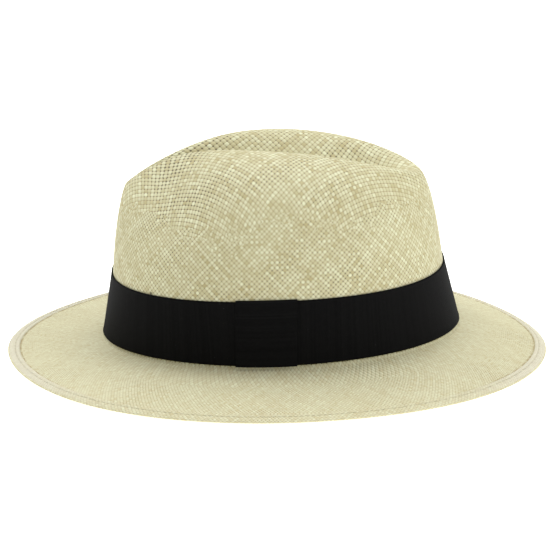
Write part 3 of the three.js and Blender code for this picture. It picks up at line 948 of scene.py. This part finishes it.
def ribbon_material(name):
    """Black grosgrain. The ribs attribute counts the ribs along the ribbon."""
    finish = Finish(name, Roughness=0.6)
    finish.shader.inputs["Specular IOR Level"].default_value = 0.03
    count, _, _ = finish.attribute("ribs")
    i = count.floor()
    across = count - i
    where, _ = finish.place()
    shade = finish.chance(i, 2.3) * 0.5 + finish.noise(where, 400.0, 3.0) * 0.5
    lint = finish.noise(where, 700.0, 1.0).ramp(0.76, 0.82)
    lint = lint * finish.noise(where, 60.0).ramp(0.5, 0.7)
    colour = finish.colour(shade, *RIBBON_BLACKS)
    colour = finish.tint(colour, LINT, lint * 0.7)
    finish.set("Base Color", colour)
    finish.bump(across.away() ** 2.0 * -1 + finish.noise(where, 1500.0) * 0.4, 0.12 * MM, 0.8)
    finish.shader.inputs["Sheen Weight"].default_value = 0.008
    finish.shader.inputs["Sheen Roughness"].default_value = 0.4
    return finish.material


RIBBON = 0.5 * MM               # its thickness
BAND_LIFT = 0.25 * MM           # its back off the straw
RIB_DEPTH = 0.05 * MM
RIB_COLUMNS = 4                 # of the mesh, for each rib
BAND_RIBS = 655
BAND_ROWS = 30
KNOT_RIBS = 44
KNOT_COLUMNS = 48
KNOT_MIDDLE = -5.5 * MM         # where along the hat, on the wearer's left
KNOT_WIDTH = 33 * MM
KNOT_BULGE = 0.9 * MM           # its second layer, and
KNOT_SWELL = 0.35 * MM          # its swell in the middle
KNOT_GAP = 0.35 * MM            # between it and the band


def upright_at(x, shape):
    """theta on the left side where an oval passes x."""
    c = np.clip((x - shape["centre"]) / shape["half_length"], -1, 1)
    return 2 * math.pi - np.arccos(power_of(c, shape["power"] / 2))


def rib_wave(steps):
    return RIB_DEPTH * np.cos(np.arange(steps) * 2 * math.pi / RIB_COLUMNS)


def band_point(theta, t, lift):
    """A point over the band's zone: t 0 at its top and 1 at its foot, lift metres proud."""
    theta, t, lift = np.broadcast_arrays(theta, t, lift)
    across = band_zone(theta, t)
    around = band_zone(theta + 0.01, t) - band_zone(theta - 0.01, t)
    down = foot(theta) - neck(theta)
    normal = unit(np.cross(down, around))
    return across + normal * lift[..., None]


def ribbon_section(width_steps, lift, thickness, flare):
    """(t, lift) round a ribbon's section: down its face, round its foot, up its back."""
    t = np.linspace(0, 1, width_steps)
    bead = 0.12 * MM * (np.exp(-((t / 0.03) ** 2)) + np.exp(-(((1 - t) / 0.03) ** 2)))
    front = lift + thickness + bead + flare * smooth(0.93, 1.0, t)
    back = lift + flare * smooth(0.93, 1.0, t)
    return np.concatenate([t, t[::-1]]), np.concatenate([front, back[::-1]])


def make_band(material):
    """The ribbon once round, its lower part a little slack here and there."""
    columns = BAND_RIBS * RIB_COLUMNS
    theta = circle(columns)
    t, lift = ribbon_section(BAND_ROWS, BAND_LIFT, RIBBON, 0.1 * MM)
    t = (0.3 * MM + t * (BAND_WIDTH - 0.9 * MM)) / BAND_WIDTH
    front = np.repeat([1.0, 0.0], BAND_ROWS)[:, None]
    slack = 0.25 * MM * noise_field(theta * NECK_RADIUS, 0, 31, 120 * MM)
    relief = rib_wave(columns) + 0.1 * MM + slack * smooth(0.5, 1, t)[:, None]
    lift_grid = lift[:, None] + relief * front
    points = band_point(theta, t[:, None], lift_grid)
    count = np.broadcast_to(np.arange(columns + 1) / RIB_COLUMNS, (len(t) + 1, columns + 1))
    values = np.stack([count, count * 0, count * 0], -1)
    layers = {"ribs": corners(values).reshape(-1, 4, 3)}
    return ring_mesh("hat_band_ribbon", points, material, layers)


def make_knot(material):
    """A turn of ribbon that runs up the face of the band and folds in over both its edges."""
    steps = KNOT_RIBS * RIB_COLUMNS
    x = KNOT_MIDDLE + KNOT_WIDTH * np.linspace(-0.5, 0.5, KNOT_COLUMNS)
    low_t, high_t = -0.5 * MM / BAND_WIDTH, 1 + 0.2 * MM / BAND_WIDTH
    t = np.linspace(low_t, high_t, steps)[:, None]
    tops, feet = upright_at(x, NECK), upright_at(x, FOOT)
    theta = tops + (feet - tops) * np.clip(t, 0, 1)
    fold = np.sqrt(np.clip(1 - (np.abs(np.linspace(-1, 1, steps)) ** 40), 0, 1))[:, None]
    face = BAND_LIFT + RIBBON + KNOT_GAP
    side = np.linspace(-1, 1, KNOT_COLUMNS)
    bead = 0.16 * MM * np.exp(-(((1 - np.abs(side)) / 0.035) ** 2))
    proud = face + KNOT_BULGE + bead + KNOT_SWELL * (1 - side**2)
    front_lift = proud * (0.25 + 0.75 * fold) + rib_wave(steps)[:, None]
    front = band_point(theta, t, front_lift)
    back = band_point(theta, t, face * 0.25)
    points = np.concatenate([front, back[::-1]])
    count = np.arange(steps)[:, None] / RIB_COLUMNS * np.ones((1, KNOT_COLUMNS))
    values = np.stack([count, count * 0, count * 0], -1)
    values = np.concatenate([values, values[::-1], values[:1]])
    return knot_mesh(points, values, material)


def knot_mesh(points, values, material):
    faces = strip_faces(*points.shape[:2])
    main = corners(values).reshape(-1, 4, 3)
    caps = np.zeros((len(faces) - len(main), 4, 3))
    return solid_mesh("band_knot_ribbon", points.reshape(-1, 3), faces,
                      {"ribs": np.concatenate([main, caps])}, material)


TACK_ANGLES = (20, 90, 160, 225)


def make_tacks(material):
    """Pairs of short stitches from the straw over the band's upper edge."""
    made = []
    for number, degrees in enumerate(TACK_ANGLES, 1):
        paths = []
        for shift in (-0.35, 0.35):
            theta = math.radians(degrees) + shift * MM / NECK_RADIUS
            t = np.linspace(-1.1, 1.1, 9)
            lift = (BAND_LIFT + RIBBON + 0.15 * MM) * np.clip(1.25 - np.abs(t + 0.1), 0, 1)
            lift = np.where(t > 0, BAND_LIFT + RIBBON + 0.2 * MM, lift) * np.sin(
                np.linspace(0.1, math.pi - 0.1, 9)) ** 0.4
            paths.append(band_point(theta, t * MM / BAND_WIDTH, lift))
        made.append(tubes_mesh(f"band_tack_{number}_thread", paths, THREAD_RADIUS, material, 6))
    return made


def inner_point(theta, height, inset):
    """A point inside the hat: height up from the foot of the band, inset from the straw."""
    theta, height, inset = np.broadcast_arrays(theta, height, inset)
    u = 3 - height / BAND_WIDTH
    at = straw(theta, np.minimum(u, 2.9999))
    around = band_zone(theta + 0.01, u - 2) - band_zone(theta - 0.01, u - 2)
    normal = unit(np.cross(foot(theta) - neck(theta), around))
    return at - normal * (STRAW + inset)[..., None]


def leather_material(name, low, high):
    finish = Finish(name, Roughness=0.5)
    where, _ = finish.place()
    cells = finish.add("ShaderNodeTexVoronoi", {"Vector": where, "Scale": 1100.0}, "Distance")
    mottle = finish.noise(where, 60.0, 4.0)
    colour = finish.colour(mottle.ramp(0.3, 0.7), low, high)
    finish.set("Base Color", finish.tint(colour, (*[c * 0.55 for c in low], 1),
                                         cells.ramp(0.35, 0.75) * 0.35))
    finish.bump(cells * -1 + finish.noise(where, 300.0) * 0.5, 0.15 * MM, 0.5)
    return finish.material


INNER_COLUMNS = 720
SWEATBAND_ROWS = 26
SWEATBAND_FOOT = 1 * MM         # its lower edge above the foot of the band
SWEATBAND_WIDTH = 32 * MM
SWEATBAND_BACK = 1.2 * MM       # its back and its face, measured in from the straw
SWEATBAND_FACE = 2.1 * MM
LEATHER_ROUNDING = 0.15 * MM
REED_RADIUS = 1.1 * MM


def make_sweatband(material):
    """The leather band: a hair wavy along its free upper edge."""
    theta = circle(INNER_COLUMNS)
    top = SWEATBAND_FOOT + SWEATBAND_WIDTH
    rise = np.linspace(SWEATBAND_FOOT, top, SWEATBAND_ROWS)
    height = np.concatenate([rise, rise[::-1]])
    inset = np.repeat([SWEATBAND_FACE, SWEATBAND_BACK], SWEATBAND_ROWS)
    inset[[0, SWEATBAND_ROWS - 1]] -= LEATHER_ROUNDING
    inset[[SWEATBAND_ROWS, -1]] += LEATHER_ROUNDING
    wave = noise_field(theta * NECK_RADIUS, 0, 12, 90 * MM) * 0.5 * MM
    lean = smooth(12 * MM, top, height)[:, None] * (wave + 0.6 * MM)
    grid = inner_point(theta, height[:, None], inset[:, None] + lean)
    return ring_mesh("sweatband_leather", grid, material)


def make_reed(material):
    """The reed in its turn of leather, puckered a little by each stitch of the seam."""
    theta = circle(INNER_COLUMNS)
    angle = circle(16)[:, None]
    radius = REED_RADIUS * (1 + 0.04 * np.cos(theta * SEAM_STITCHES))
    height = SWEATBAND_FOOT - GAP - REED_RADIUS - radius * np.cos(angle) * 0.98
    inset = 1.85 * MM - radius * np.sin(angle)
    grid = inner_point(theta, height, inset)
    return ring_mesh("sweatband_reed_welt", grid, material)


def make_seam(material):
    """Stitches through the sweatband, just above the reed."""
    rise = 0.05 * MM + 0.14 * MM * np.sin(np.linspace(0, math.pi, STITCH_POINTS))
    paths = []
    for k in range(SEAM_STITCHES):
        theta = (k + np.linspace(0.12, 0.82, STITCH_POINTS)) * 2 * math.pi / SEAM_STITCHES
        paths.append(inner_point(theta, 3 * MM, SWEATBAND_FACE + rise))
    return tubes_mesh("sweatband_seam", paths, THREAD_RADIUS, material, 6)


def satin_material():
    finish = Finish("satin", Roughness=0.35)
    _, (x, y, z) = finish.place()
    grain = finish.noise(finish.vector(y * 900, z * 120, x * 900), 1.0, 2.0)
    finish.set("Base Color", finish.colour(grain, (0.006, 0.006, 0.007), (0.016, 0.016, 0.018)))
    finish.bump(grain, 0.1 * MM, 0.5)
    return finish.material


def make_bow(material):
    """Two flattened loops of narrow ribbon drawn together by a short turn across them."""
    lo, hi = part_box("sweatband_bow")
    middle = [(a + b) / 2 for a, b in zip(lo, hi)]
    points, faces, start = [], [], 0
    loop = np.linspace(0, 1, 25)
    for side in (-1, 1):
        y = side * 8.6 * MM * np.sin(math.pi * loop) ** 0.8
        x = -0.45 * MM * np.sin(2 * math.pi * loop)
        for_width = []
        for edge_side in (1, -1):
            width = (2.2 + 1.2 * np.sin(math.pi * loop)) * MM * edge_side
            for_width.append(np.stack([x + middle[0], y + middle[1], width + middle[2]], -1))
        inner = [p + (0.18 * MM, 0, 0) for p in for_width]
        section = np.stack([for_width[0], for_width[1], inner[1], inner[0]])
        points.append(section.reshape(-1, 3))
        faces.append(strip_faces(4, len(loop), start))
        start += section.shape[0] * section.shape[1]
    turn = circle(16)
    ring = np.stack([middle[0] + 0.55 * MM * np.cos(turn), middle[1] + 1.7 * MM * np.sin(turn),
                     turn * 0 + middle[2]], -1)
    bar = np.stack([ring + (0, 0, z * MM) for z in (-2.6, -1.3, 0, 1.3, 2.6)], 1)
    points.append(bar.reshape(-1, 3))
    faces.append(strip_faces(16, 5, start))
    return solid_mesh("sweatband_bow_satin", np.concatenate(points), np.concatenate(faces), {},
                      material)


def label_material():
    finish = Finish("label_cloth", Roughness=0.8)
    _, (_, y, z) = finish.place()
    weft = (z * 9000).op("SINE") * 0.5 + 0.5
    warp = (y * 9000).op("SINE") * 0.5 + 0.5
    colour = finish.colour(weft * warp, (0.62, 0.60, 0.54), (0.78, 0.76, 0.70))
    finish.set("Base Color", colour)
    finish.bump(weft * warp, 0.06 * MM, 0.5)
    return finish.material


LABEL_HEIGHT = 12 * MM
LABEL_LENGTH = 20 * MM
LABEL_FOOT = 12 * MM            # its lower edge above the foot of the band
LABEL_ANGLE = math.radians(14)  # from the middle of the back


def make_label(material):
    """A blank strip between the straw and the sweatband."""
    half = LABEL_LENGTH / 2 / NECK_RADIUS
    theta = np.linspace(-half, half, 24) + LABEL_ANGLE
    rise = np.linspace(LABEL_FOOT, LABEL_FOOT + LABEL_HEIGHT, 14)
    height = np.concatenate([rise, rise[::-1]])[:, None]
    inset = np.repeat([0.75 * MM, 0.45 * MM], len(rise))[:, None]
    grid = inner_point(theta, height, inset)
    return solid_mesh("size_label_cloth", grid[:, ::-1].reshape(-1, 3),
                      strip_faces(*grid.shape[:2]), {}, material)


# ---------------- the hat, put together


def dress(piece, slot, *nodes):
    """Hangs a finished piece under the root empty and hides the CAD nodes it stands for."""
    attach(piece, "root")
    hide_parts(*nodes)


def make_hat():
    straw_thread = thread_material("straw_thread", (0.50, 0.46, 0.31), (0.64, 0.60, 0.44))
    black_thread = thread_material("black_thread", (0.005, 0.005, 0.005), (0.02, 0.02, 0.02))
    seam_thread = thread_material("seam_thread", (0.42, 0.33, 0.2), (0.58, 0.48, 0.32))
    ribbon = ribbon_material("grosgrain")
    leather = leather_material("sweatband_hide", (0.30, 0.17, 0.085), (0.38, 0.225, 0.12))
    welt = leather_material("reed_hide", (0.27, 0.15, 0.075), (0.34, 0.2, 0.105))
    dress(make_crown(), "straw", "straw_body")
    dress(make_brim(), "straw", "straw_body")
    top_seam = hem_stitches("hem_stitches_top", -HEM_LAYER, 0.0, straw_thread)
    under_seam = hem_stitches("hem_stitches_under", STRAW, 0.5, straw_thread)
    dress(top_seam, "straw_thread", "hem_thread_top")
    dress(under_seam, "straw_thread", "hem_thread_under")
    band, knot = make_band(ribbon), make_knot(ribbon)
    dress(band, "ribbon", "hat_band")
    dress(knot, "ribbon", "band_knot")
    for number, tack in enumerate(make_tacks(black_thread), 1):
        dress(tack, "black_thread", f"band_tack_{number}")
    sweatband = make_sweatband(leather)
    dress(sweatband, "sweatband_leather", "sweatband")
    dress(make_reed(welt), "reed_leather", "sweatband_reed")
    dress(make_seam(seam_thread), "seam_thread", "sweatband_thread")
    dress(make_bow(satin_material()), "satin", "sweatband_bow")
    label = make_label(label_material())
    dress(label, "label", "size_label")


make_stage()
make_lights()
make_hat()
